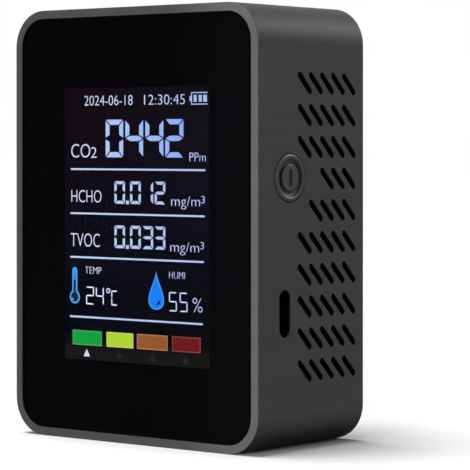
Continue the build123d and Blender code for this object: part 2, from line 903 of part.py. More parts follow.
pieces = {
    "main_housing": main_housing,
    "rear_cover": rear_cover,
    "rear_cover_screws": rear_cover_screws,
    "display_lens": display_lens,
    "lens_mask": lens_mask,
    "lens_tape": lens_tape,
    "lcd_front_film": lcd_front_film,
    "lcd_front_glass": lcd_front_glass,
    "lcd_rear_glass": lcd_rear_glass,
    "lcd_flex": lcd_flex,
    "flex_connector": flex_connector,
    "backlight_frame": backlight_frame,
    "light_guide": light_guide,
    "lcd_foam_strips": lcd_foam_strips,
    "main_board": main_board,
    "board_screws": board_screws,
    "controller_chip": controller_chip,
    "charger_chip": charger_chip,
    "chip_capacitors": chip_capacitors,
    "chip_resistors": chip_resistors,
    "power_inductor": power_inductor,
    "crystal": crystal,
    "buzzer": buzzer,
    "usb_shell": usb_shell,
    "usb_tongue": usb_tongue,
    "switch_base": switch_base,
    "switch_frame": switch_frame,
    "switch_plunger": switch_plunger,
    "power_button": power_button,
    "co2_header_strips": co2_header_strips,
    "co2_module_board": co2_module_board,
    "co2_chamber": co2_chamber,
    "co2_membranes": co2_membranes,
    "hcho_socket": hcho_socket,
    "hcho_cell": hcho_cell,
    "voc_sensor_base": voc_sensor_base,
    "voc_sensor_cap": voc_sensor_cap,
    "climate_sensor": climate_sensor,
    "battery_pouch": battery_pouch,
    "battery_pad": battery_pad,
    "battery_protection_board": battery_protection_board,
    "battery_lead_positive": lambda: battery_lead(wire_x - wire_pitch / 2),
    "battery_lead_negative": lambda: battery_lead(wire_x + wire_pitch / 2),
    "battery_plug": battery_plug,
    "battery_socket": battery_socket,
}

os.makedirs("parts", exist_ok=True)
for name, make in pieces.items():
    export_step(make(), f"parts/{name}.step")
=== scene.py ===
import bmesh
import bpy
import math
import numpy as np
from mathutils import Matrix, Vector


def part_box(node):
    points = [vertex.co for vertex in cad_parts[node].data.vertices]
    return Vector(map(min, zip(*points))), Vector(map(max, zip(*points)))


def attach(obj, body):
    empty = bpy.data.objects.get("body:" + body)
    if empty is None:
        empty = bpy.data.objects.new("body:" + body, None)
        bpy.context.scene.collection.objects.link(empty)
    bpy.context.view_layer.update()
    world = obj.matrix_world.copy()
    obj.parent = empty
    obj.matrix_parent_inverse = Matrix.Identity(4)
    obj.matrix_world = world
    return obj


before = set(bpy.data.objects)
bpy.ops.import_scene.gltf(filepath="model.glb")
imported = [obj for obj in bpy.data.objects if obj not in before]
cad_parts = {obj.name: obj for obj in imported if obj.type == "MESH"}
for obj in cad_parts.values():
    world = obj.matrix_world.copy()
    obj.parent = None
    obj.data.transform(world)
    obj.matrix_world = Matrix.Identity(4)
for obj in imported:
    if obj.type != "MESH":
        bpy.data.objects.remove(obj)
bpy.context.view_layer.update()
print("frame loaded:", len(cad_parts), "nodes")

mm = 0.001


def linearColour(hexCode, alpha=1.0):
    # each sRGB channel c becomes c/12.92 when small, else ((c+0.055)/1.055)^2.4
    channels = [int(hexCode[i:i + 2], 16) / 255 for i in (1, 3, 5)]
    return [c / 12.92 if c <= 0.04045 else ((c + 0.055) / 1.055) ** 2.4 for c in channels] + [alpha]


def addNode(tree, kind, values=None, links=None, **settings):
    # one shader node, with its settings, its input values and what feeds it: an output, or a node, which
    # stands for its first output
    node = tree.nodes.new("ShaderNode" + kind)
    for name, value in settings.items():
        setattr(node, name, value)
    for name, value in (values or {}).items():
        node.inputs[name].default_value = value
    for name, source in (links or {}).items():
        tree.links.new(getattr(source, "outputs", [source])[0], node.inputs[name])
    return node


def newMaterial(name):
    # a material, its empty node tree, and the Object coordinates that every pattern reads
    material = bpy.data.materials.new(name)
    material.use_nodes = True
    tree = material.node_tree
    tree.nodes.clear()
    return material, tree, addNode(tree, "TexCoord").outputs["Object"]


def surfaced(material, shader):
    # the finished material, with its shader feeding the surface
    addNode(material.node_tree, "OutputMaterial", links={"Surface": shader})
    return material


def fillRamp(node, stops):
    # stops is a list of (position from 0 to 1, hex colour), the first and last kept as the ramp's own two
    elements = node.color_ramp.elements
    for position, _ in stops[1:-1]:
        elements.new(position)
    for element, (position, hexCode) in zip(elements, stops):
        element.position = position
        element.color = linearColour(hexCode)
    return node


def darkToLight(look):
    # the two colours of a finish as stops, between which nearly all of a noise lies
    return [(0.3, look["dark"]), (0.7, look["light"])]


def newObject(name, data):
    # an object made and put in the scene
    thing = bpy.data.objects.new(name, data)
    bpy.context.scene.collection.objects.link(thing)
    return thing


def dress(material, *nodeNames):
    # gives the CAD nodes one finish
    for nodeName in nodeNames:
        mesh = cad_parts[nodeName].data
        mesh.materials.clear()
        mesh.materials.append(material)


# Moulded plastics. The tool's spark-eroded face leaves a fine even grain that breaks up the gloss,
# and the pigment drifts very slightly where the melt flowed.
def mouldedPlastic(name, look):
    material, tree, coordinates = newMaterial(name)
    flow = addNode(tree, "Mapping", {"Scale": look.get("flowStretch", (1, 1, 1))}, {"Vector": coordinates})
    drift = addNode(
        tree, "TexNoise", {"Scale": 1 / (look["driftMm"] * mm), "Detail": 3.0},
        {"Vector": flow},
    )
    grain = addNode(
        tree, "TexNoise", {"Scale": 1 / (look["grainMm"] * mm), "Detail": 2.0, "Roughness": 0.6},
        {"Vector": coordinates},
    )
    colour = fillRamp(addNode(tree, "ValToRGB", links={"Fac": drift}), darkToLight(look))
    spread = look["roughnessSpread"]
    roughness = addNode(
        tree, "MapRange",
        {"To Min": look["roughness"] - spread, "To Max": look["roughness"] + spread},
        {"Value": grain},
    )
    bump = addNode(
        tree, "Bump", {"Strength": look["bump"], "Distance": look["grainDepthMm"] * mm},
        {"Height": grain},
    )
    # painted shade: openings and recesses darkened with depth under the outer skin
    if "openingShade" in look:
        colour = paintedShadeInOpenings(tree, coordinates, colour, look["openingShade"])
    # painted shade: a groove darkened with depth below the face
    if "sunk" in look:
        colour = paintedShadeBelowFace(tree, coordinates, colour, look["sunk"])
    if "edgeRoundMm" in look:
        edge = addNode(tree, "Bevel", {"Radius": look["edgeRoundMm"] * mm}, samples=4)
        tree.links.new(edge.outputs["Normal"], bump.inputs["Normal"])
    shader = addNode(
        tree, "BsdfPrincipled", {"IOR": look["ior"], "Specular IOR Level": look["specular"]},
        {"Base Color": colour, "Roughness": roughness, "Normal": bump},
    )
    return surfaced(material, shader)


def blendToPaintedShade(tree, surfaceColour, place, span, shadeColour):
    # the surface colour gives way to a painted shade colour: share = (place - start) / (end - start), from 0
    # to 1
    share = addNode(tree, "MapRange", {"From Min": span[0], "From Max": span[1]}, {"Value": place})
    return addNode(
        tree, "Mix", {"B": linearColour(shadeColour)}, {"Factor": share, "A": surfaceColour},
        data_type="RGBA",
    ).outputs["Result"]


def paintedShadeInOpenings(tree, coordinates, surfaceColour, openingShade):
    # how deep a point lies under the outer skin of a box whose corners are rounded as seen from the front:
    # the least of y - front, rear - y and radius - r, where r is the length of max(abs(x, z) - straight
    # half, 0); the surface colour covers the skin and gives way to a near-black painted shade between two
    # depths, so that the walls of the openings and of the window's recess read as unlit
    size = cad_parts["main_housing"].dimensions / mm
    radius = openingShade["cornerMm"]
    centred = addNode(tree, "VectorMath", {1: (0, 0, -size.z / 2 * mm)}, {0: coordinates}, operation="ADD")
    mirrored = addNode(tree, "VectorMath", links={0: centred}, operation="ABSOLUTE")
    straight = ((size.x / 2 - radius) * mm, size.y * mm, (size.z / 2 - radius) * mm)
    past = addNode(tree, "VectorMath", {1: straight}, {0: mirrored}, operation="SUBTRACT")
    past = addNode(tree, "VectorMath", {1: (0, 0, 0)}, {0: past}, operation="MAXIMUM")
    reach = addNode(tree, "VectorMath", links={0: past}, operation="LENGTH")
    fromSide = addNode(tree, "Math", {0: radius * mm}, {1: reach.outputs["Value"]}, operation="SUBTRACT")
    split = addNode(tree, "SeparateXYZ", links={"Vector": mirrored})
    fromEnd = addNode(tree, "Math", {0: size.y / 2 * mm}, {1: split.outputs["Y"]}, operation="SUBTRACT")
    depth = addNode(tree, "Math", links={0: fromSide, 1: fromEnd}, operation="MINIMUM")
    span = (openingShade["greyToMm"] * mm, openingShade["shadeFromMm"] * mm)
    return blendToPaintedShade(tree, surfaceColour, depth, span, openingShade["colour"])


def paintedShadeBelowFace(tree, coordinates, surfaceColour, sunk):
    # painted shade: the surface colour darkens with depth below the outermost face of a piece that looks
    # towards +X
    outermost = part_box(sunk["piece"])[1].x
    split = addNode(tree, "SeparateXYZ", links={"Vector": coordinates})
    span = (outermost - sunk["fromMm"] * mm, outermost - sunk["toMm"] * mm)
    return blendToPaintedShade(tree, surfaceColour, split.outputs["X"], span, sunk["colour"])


# what most plastics share; each one below says how it differs
plasticLook = {"grainDepthMm": 0.004, "bump": 0.3, "roughnessSpread": 0.06, "specular": 0.5}

# ABS with a satin spark-eroded face: soft broad highlights on the rounded edges, and faint level
# streaks where the melt ran along the long sides. The real grain, 0.02 mm, is drawn at 0.35 mm.
caseLook = dict(
    plasticLook, dark="#464647", light="#4A4A4B", driftMm=9, flowStretch=(0.25, 0.25, 3), grainMm=0.35,
    bump=0.35, roughness=0.47, roughnessSpread=0.05, ior=1.54, specular=0.02, edgeRoundMm=0.15,
)
dress(mouldedPlastic("abs_moulded_satin", caseLook), "rear_cover")
# the button is worn a little glossier, so that its rounded edges catch the light from above; the groove
# round its disc and its bar darken with depth below its face, as painted shade
buttonLook = dict(
    caseLook, dark="#353536", light="#39393A", specular=0.09, edgeRoundMm=0.1,
    sunk={"piece": "power_button", "colour": "#272728", "fromMm": 0.2, "toMm": 0.36},
)
dress(mouldedPlastic("abs_satin_button_shaded_groove", buttonLook), "power_button")
# the walls of the housing's openings and of the window's recess, past a small depth under the outer
# skin, are painted near black: painted shade, so that they read as unlit
housingLook = dict(
    caseLook, edgeRoundMm=0.1,
    openingShade={"colour": "#0B0B0C", "cornerMm": 7.5, "greyToMm": 0.08, "shadeFromMm": 0.3},
)
dress(mouldedPlastic("abs_satin_shaded_openings", housingLook), "main_housing")

# Glass-filled nylon, undyed: waxy cream, dull, with pale fibre drift.
nylonLook = dict(
    plasticLook, dark="#CFC6AE", light="#DDD5BF", driftMm=1.5, grainMm=0.15, grainDepthMm=0.005,
    roughness=0.5, ior=1.53, specular=0.45,
)
dress(mouldedPlastic("nylon_moulded_cream", nylonLook), "flex_connector", "battery_plug", "battery_socket")

# Nylon dyed black, as pin strips and switch bodies are: even, half-dull.
blackNylonLook = dict(nylonLook, dark="#151515", light="#1C1C1C", driftMm=2)
dress(
    mouldedPlastic("nylon_moulded_black", blackNylonLook), "co2_header_strips", "hcho_socket", "switch_base",
    "switch_plunger",
)

# Epoxy moulding compound: sooty black with a dusty, gritty face from its silica filler.
epoxyLook = dict(
    plasticLook, dark="#1B1C1E", light="#242527", driftMm=1.2, grainMm=0.08, bump=0.5, roughness=0.62,
    roughnessSpread=0.08, ior=1.55, specular=0.4,
)
dress(mouldedPlastic("epoxy_moulded_filled", epoxyLook), "controller_chip", "charger_chip", "climate_sensor")

# Polybutylene terephthalate, black: the buzzer's smooth drum, a little glossier than nylon.
buzzerLook = dict(
    plasticLook, dark="#121212", light="#181818", driftMm=3, grainMm=0.2, grainDepthMm=0.003, bump=0.2,
    roughness=0.38, roughnessSpread=0.05, ior=1.56,
)
dress(mouldedPlastic("pbt_moulded_black", buzzerLook), "buzzer")

# Liquid crystal polymer: the tongue in the socket, black with grey swirls from its stiff fibres.
tongueLook = dict(
    plasticLook, dark="#0C0C0D", light="#1D1D1F", driftMm=0.8, grainMm=0.1, roughness=0.45, ior=1.6,
)
dress(mouldedPlastic("lcp_moulded_black", tongueLook), "usb_tongue")

# Polycarbonate blend, white: the gas cell's body, smooth and slightly warm.
cellLook = dict(
    plasticLook, dark="#DADAD4", light="#E6E6E1", driftMm=4, grainMm=0.25, grainDepthMm=0.003, bump=0.25,
    roughness=0.4, roughnessSpread=0.05, ior=1.58,
)
dress(mouldedPlastic("pc_moulded_white", cellLook), "hcho_cell")

# Phenolic base of the heated sensor: brown-black and dull.
phenolicLook = dict(
    plasticLook, dark="#2A211B", light="#362B23", driftMm=1.5, grainMm=0.12, grainDepthMm=0.005, bump=0.4,
    roughness=0.58, roughnessSpread=0.07, ior=1.6, specular=0.4,
)
dress(mouldedPlastic("phenolic_moulded_brown", phenolicLook), "voc_sensor_base")

# Reflector tray in highly filled white polycarbonate: bright, matt, no visible grain.
trayLook = dict(
    plasticLook, dark="#E9EAEA", light="#F2F3F3", driftMm=8, grainMm=0.2, grainDepthMm=0.002, bump=0.2,
    roughness=0.55, roughnessSpread=0.05, ior=1.58, specular=0.4,
)
dress(mouldedPlastic("pc_moulded_reflector", trayLook), "backlight_frame")

# Silicone rubber leads, extruded: a soft dull sheen and faint draw lines.
redLeadLook = dict(
    plasticLook, dark="#A21A16", light="#B8231D", driftMm=1.0, grainMm=0.12, bump=0.25, roughness=0.48,
    ior=1.43,
)
dress(mouldedPlastic("silicone_extruded_red", redLeadLook), "battery_lead_positive")
blackLeadLook = dict(redLeadLook, dark="#141414", light="#1E1E1E")
dress(mouldedPlastic("silicone_extruded_black", blackLeadLook), "battery_lead_negative")

# Sintered ceramics: capacitors fired to a tan body, resistors with a dark glassy film.
capacitorLook = dict(
    plasticLook, dark="#8C7355", light="#A68C68", driftMm=0.6, grainMm=0.06, grainDepthMm=0.003, bump=0.4,
    roughness=0.4, roughnessSpread=0.08, ior=1.7,
)
dress(mouldedPlastic("barium_titanate_sintered", capacitorLook), "chip_capacitors")
resistorLook = dict(capacitorLook, dark="#101214", light="#23262A", roughness=0.3)
dress(mouldedPlastic("ruthenium_film_fired", resistorLook), "chip_resistors")

# Pressed ferrite: dark grey, powdery, with a coarse speckle.
ferriteLook = dict(
    plasticLook, dark="#26272A", light="#3A3B3F", driftMm=0.4, grainMm=0.1, grainDepthMm=0.01, bump=0.6,
    roughness=0.6, roughnessSpread=0.08, ior=1.9, specular=0.4,
)
dress(mouldedPlastic("ferrite_pressed", ferriteLook), "power_inductor")

# Expanded PTFE membrane: paper-white, fibrous, with almost no gloss.
membraneLook = dict(
    plasticLook, dark="#E4E4E2", light="#F0F0EE", driftMm=0.7, grainMm=0.1, grainDepthMm=0.01, bump=0.5,
    roughness=0.8, roughnessSpread=0.05, ior=1.35, specular=0.3,
)
dress(mouldedPlastic("ptfe_expanded_sheet", membraneLook), "co2_membranes")


# Screen-printed ink and its adhesive: black, flat, with the faint orange peel of a dried wet film.
# The ink is wet onto the window's rear, so no air lies between them and it has no gloss of its own.
def printedFilm(name, look):
    material, tree, coordinates = newMaterial(name)
    peel = addNode(
        tree, "TexNoise", {"Scale": 1 / (look["peelMm"] * mm), "Detail": 1.0},
        {"Vector": coordinates},
    )
    bump = addNode(
        tree, "Bump", {"Strength": look["bump"], "Distance": look["peelDepthMm"] * mm},
        {"Height": peel},
    )
    colour = fillRamp(addNode(tree, "ValToRGB", links={"Fac": peel}), darkToLight(look))
    shader = addNode(
        tree, "BsdfPrincipled",
        {"Roughness": look["roughness"], "IOR": look["ior"], "Specular IOR Level": look["specular"]},
        {"Base Color": colour, "Normal": bump},
    )
    return surfaced(material, shader)


inkLook = {
    "dark": "#050507", "light": "#060709", "peelMm": 0.8, "peelDepthMm": 0.002, "bump": 0.2,
    "roughness": 0.6, "ior": 1.5, "specular": 0.0,
}
dress(printedFilm("ink_screen_printed_black", inkLook), "lens_mask")
tapeLook = dict(inkLook, dark="#0B0B0C", light="#101011", peelMm=1.5, specular=0.3)
dress(printedFilm("acrylic_foam_tape_black", tapeLook), "lens_tape")


def smearedGloss(tree, coordinates, look):
    # the roughness of a wiped face, which drifts between two values over the length of a smear and
    # stays at them where the noise leaves its span
    smear = addNode(
        tree, "TexNoise", {"Scale": 1 / (look["smearMm"] * mm), "Detail": 2.0},
        {"Vector": coordinates},
    )
    start, end = look["smearSpan"]
    low, high = look["roughness"]
    return addNode(
        tree, "MapRange",
        {"From Min": start, "From Max": end, "To Min": low, "To Max": high}, {"Value": smear},
    )


# Clear sheet, polished: clear all through, mirror-smooth with only a trace of smear in its gloss.
def clearSheet(name, look):
    material, tree, coordinates = newMaterial(name)
    shader = addNode(
        tree, "BsdfPrincipled",
        {"Base Color": linearColour(look["tint"]), "Transmission Weight": 1.0, "IOR": look["ior"]},
        {"Roughness": smearedGloss(tree, coordinates, look)},
    )
    return surfaced(material, shader)


guideLook = {
    "tint": "#F6FAF4", "smearMm": 18, "smearSpan": (0.35, 0.65), "roughness": (0.02, 0.06), "ior": 1.49,
}
dress(clearSheet("acrylic_moulded_clear", guideLook), "light_guide")
glassLook = dict(guideLook, tint="#EAF4EE", roughness=(0.0, 0.01), ior=1.52)
dress(clearSheet("soda_lime_float_glass", glassLook), "lcd_front_glass", "lcd_rear_glass")


# Cast acrylic window with a coat against reflections: it takes a little light out of what is behind
# it and gives back almost none, so the whole front reads as one black sheet.
def coatedWindow(name, look):
    material, tree, coordinates = newMaterial(name)
    shader = addNode(
        tree, "BsdfPrincipled",
        {
            "Base Color": linearColour(look["tint"]), "IOR": look["ior"],
            "Specular IOR Level": look["specular"], "Alpha": look["solid"],
        },
        {"Roughness": smearedGloss(tree, coordinates, look)},
    )
    return surfaced(material, shader)


lensLook = dict(guideLook, tint="#030304", roughness=(0.03, 0.07), specular=0.07, solid=0.15)
dress(coatedWindow("acrylic_cast_coated", lensLook), "display_lens")

# The display's film, laid out from its upper left corner: across to the right and down, in mm.
filmLow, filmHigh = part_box("lcd_front_film")
filmWide = (filmHigh.x - filmLow.x) / mm


def acrossFilm(tree, coordinates):
    # two shares from 0 to 1: across the film from its left edge, and up it from its lower edge
    parts = addNode(tree, "SeparateXYZ", links={"Vector": coordinates})
    across = addNode(
        tree, "MapRange", {"From Min": filmLow.x, "From Max": filmHigh.x},
        {"Value": parts.outputs["X"]},
    )
    up = addNode(
        tree, "MapRange", {"From Min": filmLow.z, "From Max": filmHigh.z},
        {"Value": parts.outputs["Z"]},
    )
    return across, up


# Stretched polariser on triacetate film, over a lit panel: nearly black, with the stain that leaks
# through a dark panel, plum at the upper left, indigo in the middle and grey-green at the foot.
def polariserFilm(name, look):
    material, tree, coordinates = newMaterial(name)
    across, up = acrossFilm(tree, coordinates)
    left = addNode(tree, "ValToRGB", links={"Fac": up})
    right = addNode(tree, "ValToRGB", links={"Fac": up})
    fillRamp(left, look["leftStain"])
    fillRamp(right, look["rightStain"])
    stain = addNode(tree, "Mix", links={"Factor": across, "A": left, "B": right}, data_type="RGBA")
    cloud = addNode(
        tree, "TexNoise", {"Scale": 1 / (look["cloudMm"] * mm), "Detail": 2.0},
        {"Vector": coordinates},
    )
    haze = addNode(
        tree, "MapRange", {"To Min": look["haze"][0], "To Max": look["haze"][1]},
        {"Value": cloud},
    )
    shader = addNode(
        tree, "BsdfPrincipled",
        {
            "Base Color": linearColour(look["base"]), "IOR": look["ior"],
            "Specular IOR Level": look["specular"], "Emission Strength": look["glow"],
        },
        {"Emission Color": stain.outputs["Result"], "Roughness": haze},
    )
    return surfaced(material, shader)


filmLook = {
    "base": "#030304", "cloudMm": 12, "haze": (0.25, 0.4), "ior": 1.49, "specular": 0.01, "glow": 1.0,
    "leftStain": [
        (0.0, "#181914"), (0.07, "#171814"), (0.085, "#000012"), (0.25, "#00020A"), (0.36, "#050818"),
        (0.6, "#0C0410"), (0.95, "#12010C"),
    ],
    "rightStain": [
        (0.0, "#181914"), (0.07, "#121310"), (0.085, "#030207"), (0.3, "#040410"), (0.6, "#0E081B"),
        (1.0, "#100F14"),
    ],
}
dress(polariserFilm("polariser_stretched_film", filmLook), "lcd_front_film")


# Metals. Rolled, drawn and turned faces keep fine parallel lines along the way they were worked.
def workedMetal(name, look):
    material, tree, coordinates = newMaterial(name)
    along = addNode(tree, "Mapping", {"Scale": look["lineStretch"]}, {"Vector": coordinates})
    lines = addNode(
        tree, "TexNoise", {"Scale": 1 / (look["lineMm"] * mm), "Detail": 2.0},
        {"Vector": along},
    )
    colour = fillRamp(addNode(tree, "ValToRGB", links={"Fac": lines}), darkToLight(look))
    roughness = addNode(
        tree, "MapRange", {"To Min": look["roughness"][0], "To Max": look["roughness"][1]},
        {"Value": lines},
    )
    bump = addNode(
        tree, "Bump", {"Strength": look["bump"], "Distance": look["lineDepthMm"] * mm},
        {"Height": lines},
    )
    shader = addNode(
        tree, "BsdfPrincipled", {"Metallic": 1.0},
        {"Base Color": colour, "Roughness": roughness, "Normal": bump},
    )
    return surfaced(material, shader)


# Stainless sheet, deep drawn and plated in black nickel: near black, with lines along the draw.
socketSteelLook = {
    "dark": "#2B2B2D", "light": "#353537", "lineMm": 0.12, "lineStretch": (0.08, 1, 1),
    "lineDepthMm": 0.002, "bump": 0.3, "roughness": (0.22, 0.34),
}
dress(workedMetal("stainless_steel_drawn", socketSteelLook), "usb_shell")
switchSteelLook = dict(socketSteelLook, lineStretch=(1, 0.08, 1), dark="#9B9D9F", light="#B4B6B8")
dress(workedMetal("stainless_steel_stamped", switchSteelLook), "switch_frame")

# Steel screws: the cover's are zinc-plated and blackened, the boards' are plain nickel plate.
coverScrewLook = {
    "dark": "#202124", "light": "#34363A", "lineMm": 0.15, "lineStretch": (1, 1, 1),
    "lineDepthMm": 0.004, "bump": 0.3, "roughness": (0.35, 0.5),
}
dress(workedMetal("steel_screw_black_zinc", coverScrewLook), "rear_cover_screws")
boardScrewLook = dict(coverScrewLook, dark="#A8A49A", light="#C2BEB4", roughness=(0.25, 0.38))
dress(workedMetal("steel_screw_nickel_plated", boardScrewLook), "board_screws")

# Kovar can of the crystal and the mesh-topped cap of the gas sensor, both nickel plated.
canLook = {
    "dark": "#B4B2AA", "light": "#CAC8C0", "lineMm": 0.2, "lineStretch": (1, 1, 0.1),
    "lineDepthMm": 0.002, "bump": 0.3, "roughness": (0.18, 0.3),
}
dress(workedMetal("kovar_can_nickel_plated", canLook), "crystal")
capLook = dict(canLook, dark="#8F8E8A", light="#B2B1AC", roughness=(0.3, 0.45))
dress(workedMetal("steel_cap_nickel_plated", capLook), "voc_sensor_cap")

# Gold-tinted anodised aluminium, extruded: the optical chamber, softly satin along its length.
chamberLook = {
    "dark": "#A98B4A", "light": "#BFA05C", "lineMm": 0.15, "lineStretch": (1, 1, 0.06),
    "lineDepthMm": 0.003, "bump": 0.3, "roughness": (0.3, 0.45),
}
dress(workedMetal("aluminium_anodised_gold", chamberLook), "co2_chamber")

# Aluminium-nylon pouch laminate: dull silver with the soft puckers of a pressed bag.
pouchLook = {
    "dark": "#A6A8AB", "light": "#BDBFC2", "lineMm": 5.0, "lineStretch": (1, 1, 0.5),
    "lineDepthMm": 0.12, "bump": 0.3, "roughness": (0.32, 0.48),
}
dress(workedMetal("aluminium_laminate_pressed", pouchLook), "battery_pouch")


# Glass-epoxy boards under solder mask: lacquer-green over copper, so the tracks show as paler bands
# that run straight and step sideways, with a wet gloss over all.
def maskedBoard(name, look):
    material, tree, coordinates = newMaterial(name)
    turned = addNode(tree, "Mapping", {"Rotation": (math.pi / 2, 0, 0)}, {"Vector": coordinates})
    tracks = addNode(
        tree, "TexBrick",
        {
            "Scale": 1.0, "Mortar Size": look["trackMm"] * mm, "Brick Width": look["runMm"] * mm,
            "Row Height": look["pitchMm"] * mm, "Color1": linearColour(look["mask"]),
            "Color2": linearColour(look["maskDeep"]), "Mortar": linearColour(look["track"]),
        },
        {"Vector": turned},
    )
    bump = addNode(
        tree, "Bump", {"Strength": look["bump"], "Distance": look["trackDepthMm"] * mm},
        {"Height": tracks.outputs["Fac"]},
    )
    weave = addNode(
        tree, "TexNoise", {"Scale": 1 / (look["weaveMm"] * mm), "Detail": 2.0},
        {"Vector": coordinates},
    )
    roughness = addNode(
        tree, "MapRange", {"To Min": look["roughness"][0], "To Max": look["roughness"][1]},
        {"Value": weave},
    )
    shader = addNode(
        tree, "BsdfPrincipled", {"IOR": look["ior"], "Specular IOR Level": look["specular"]},
        {"Base Color": tracks, "Roughness": roughness, "Normal": bump},
    )
    return surfaced(material, shader)


boardLook = {
    "mask": "#0E4A2A", "maskDeep": "#0B3F24", "track": "#1F6B3F", "trackMm": 0.12, "runMm": 4.0,
    "pitchMm": 0.9, "trackDepthMm": 0.035, "bump": 0.4, "weaveMm": 0.5, "roughness": (0.22, 0.36),
    "ior": 1.55, "specular": 0.5,
}
dress(maskedBoard("glass_epoxy_board_green", boardLook), "main_board")
moduleLook = dict(boardLook, mask="#103E55", maskDeep="#0C3347", track="#1E5C78", runMm=3.0, pitchMm=0.7)
dress(maskedBoard("glass_epoxy_board_blue", moduleLook), "co2_module_board", "battery_protection_board")


# Polyimide flex: amber and glossy, with copper lines side by side under the film.
def flexFilm(name, look):
    material, tree, coordinates = newMaterial(name)
    parts = addNode(tree, "SeparateXYZ", links={"Vector": coordinates})
    turns = addNode(
        tree, "Math", {1: 2 * math.pi / (look["linePitchMm"] * mm)}, {0: parts.outputs["X"]},
        operation="MULTIPLY",
    )
    wave = addNode(tree, "Math", links={0: turns}, operation="SINE")
    share = addNode(
        tree, "MapRange", {"From Min": -look["edge"], "From Max": look["edge"]},
        {"Value": wave},
    )
    ramp = addNode(tree, "ValToRGB", links={"Fac": share})
    shader = addNode(
        tree, "BsdfPrincipled",
        {"Roughness": look["roughness"], "IOR": look["ior"], "Specular IOR Level": look["specular"]},
        {"Base Color": fillRamp(ramp, [(0.0, look["film"]), (1.0, look["copper"])])},
    )
    return surfaced(material, shader)


flexLook = {
    "film": "#8A5A17", "copper": "#C07A2E", "linePitchMm": 0.6, "edge": 0.3, "roughness": 0.28,
    "ior": 1.7, "specular": 0.5,
}
dress(flexFilm("polyimide_flex_amber", flexLook), "lcd_flex")


# Closed-cell foam: charcoal, matt, pitted all over by its cut cells.
def cutFoam(name, look):
    material, tree, coordinates = newMaterial(name)
    cells = addNode(tree, "TexVoronoi", {"Scale": 1 / (look["cellMm"] * mm)}, {"Vector": coordinates})
    ramp = addNode(tree, "ValToRGB", links={"Fac": cells})
    bump = addNode(
        tree, "Bump", {"Strength": look["bump"], "Distance": look["pitDepthMm"] * mm},
        {"Height": cells}, invert=True,
    )
    shader = addNode(
        tree, "BsdfPrincipled",
        {"Roughness": look["roughness"], "IOR": look["ior"], "Specular IOR Level": look["specular"]},
        {
            "Base Color": fillRamp(ramp, [(0.0, look["deep"]), (0.6, look["face"])]),
            "Normal": bump,
        },
    )
    return surfaced(material, shader)


foamLook = {
    "deep": "#0E0E0F", "face": "#232325", "cellMm": 0.35, "pitDepthMm": 0.1, "bump": 0.7, "roughness": 0.9,
    "ior": 1.45, "specular": 0.3,
}
dress(cutFoam("polyurethane_foam_cut", foamLook), "lcd_foam_strips", "battery_pad")
print("finishes on the CAD nodes")


def placeOf(across, down):
    # a spot on the film, in mm from its upper left corner, as x and z in metres
    return filmLow.x + np.asarray(across) * mm, filmHigh.z - np.asarray(down) * mm


# in mm: the gap before the film, the thickness of a layer, and how near two corners count as one
screenLook = {"frontGap": 0.05, "thick": 0.015, "weld": 0.0002}


def layerDepths(layer):
    # the rear and front of a layer of lit shapes, each layer standing on the one before it
    rear = filmLow.y - (screenLook["frontGap"] + layer * screenLook["thick"]) * mm
    return rear, rear - screenLook["thick"] * mm


def finishPiece(name, mesh, material):
    # puts a mesh in the scene as a piece that rides on the case, its doubles merged and faces outward
    merged = bmesh.new()
    merged.from_mesh(mesh)
    bmesh.ops.remove_doubles(merged, verts=merged.verts, dist=screenLook["weld"] * mm)
    bmesh.ops.recalc_face_normals(merged, faces=merged.faces)
    merged.to_mesh(mesh)
    merged.free()
    mesh.materials.clear()
    mesh.materials.append(material)
    piece = newObject(name, mesh)
    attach(piece, "case")
    return piece


def litShapes(name, outlines, material, layer=0):
    # each outline is an array of (across, down) corners. Its front and rear are the outline itself, and
    # its wall is the strip between them: corner i of the front joins corner i and i+1 of the rear.
    rear, front = layerDepths(layer)
    points, faces, start = [], [], 0
    for outline in outlines:
        count = len(outline)
        x, z = placeOf(outline[:, 0], outline[:, 1])
        ring = np.stack([x, np.full(count, front), z], 1)
        points += [ring, ring + (0, rear - front, 0)]
        here = np.arange(count)
        onward = np.roll(here, -1)
        faces += [tuple(start + here), tuple(start + count + here[::-1])]
        faces += (start + np.stack([here, onward, onward + count, here + count], 1)).tolist()
        start += 2 * count
    mesh = bpy.data.meshes.new(name)
    mesh.from_pydata(np.concatenate(points).tolist(), [], faces)
    return finishPiece(name, mesh, material)


def insetOutline(outline, gap):
    # each corner moves in along its bisector, p + gap (a + b) / (1 + a.b), where a and b are the inward
    # unit normals of its two edges, so that both edges move in by the gap
    onward = np.roll(outline, -1, 0) - outline
    unit = onward / np.linalg.norm(onward, axis=1, keepdims=True)
    centre = outline.mean(0)
    normal = np.stack([-unit[:, 1], unit[:, 0]], 1)
    side = np.sign(((centre - outline) * normal).sum(1, keepdims=True))
    normal *= side
    before = np.roll(normal, 1, 0)
    return outline + gap * (before + normal) / (1 + (before * normal).sum(1, keepdims=True))


def boxOutline(left, top, right, bottom):
    return np.array([(left, top), (right, top), (right, bottom), (left, bottom)], float)


def ringArc(centre, radius, startDeg, endDeg, count):
    # points on a circle: centre + radius (cos a, sin a), with a measured clockwise from the right
    angle = np.radians(np.linspace(startDeg, endDeg, count))
    return np.asarray(centre) + radius * np.stack([np.cos(angle), np.sin(angle)], 1)


# which bars of a digit are lit: a is the top one, b to f go on clockwise and g is the middle one
litBars = {
    "0": "abcdef", "1": "bc", "2": "abged", "3": "abgcd", "4": "fgbc", "5": "afgcd", "C": "afed",
}


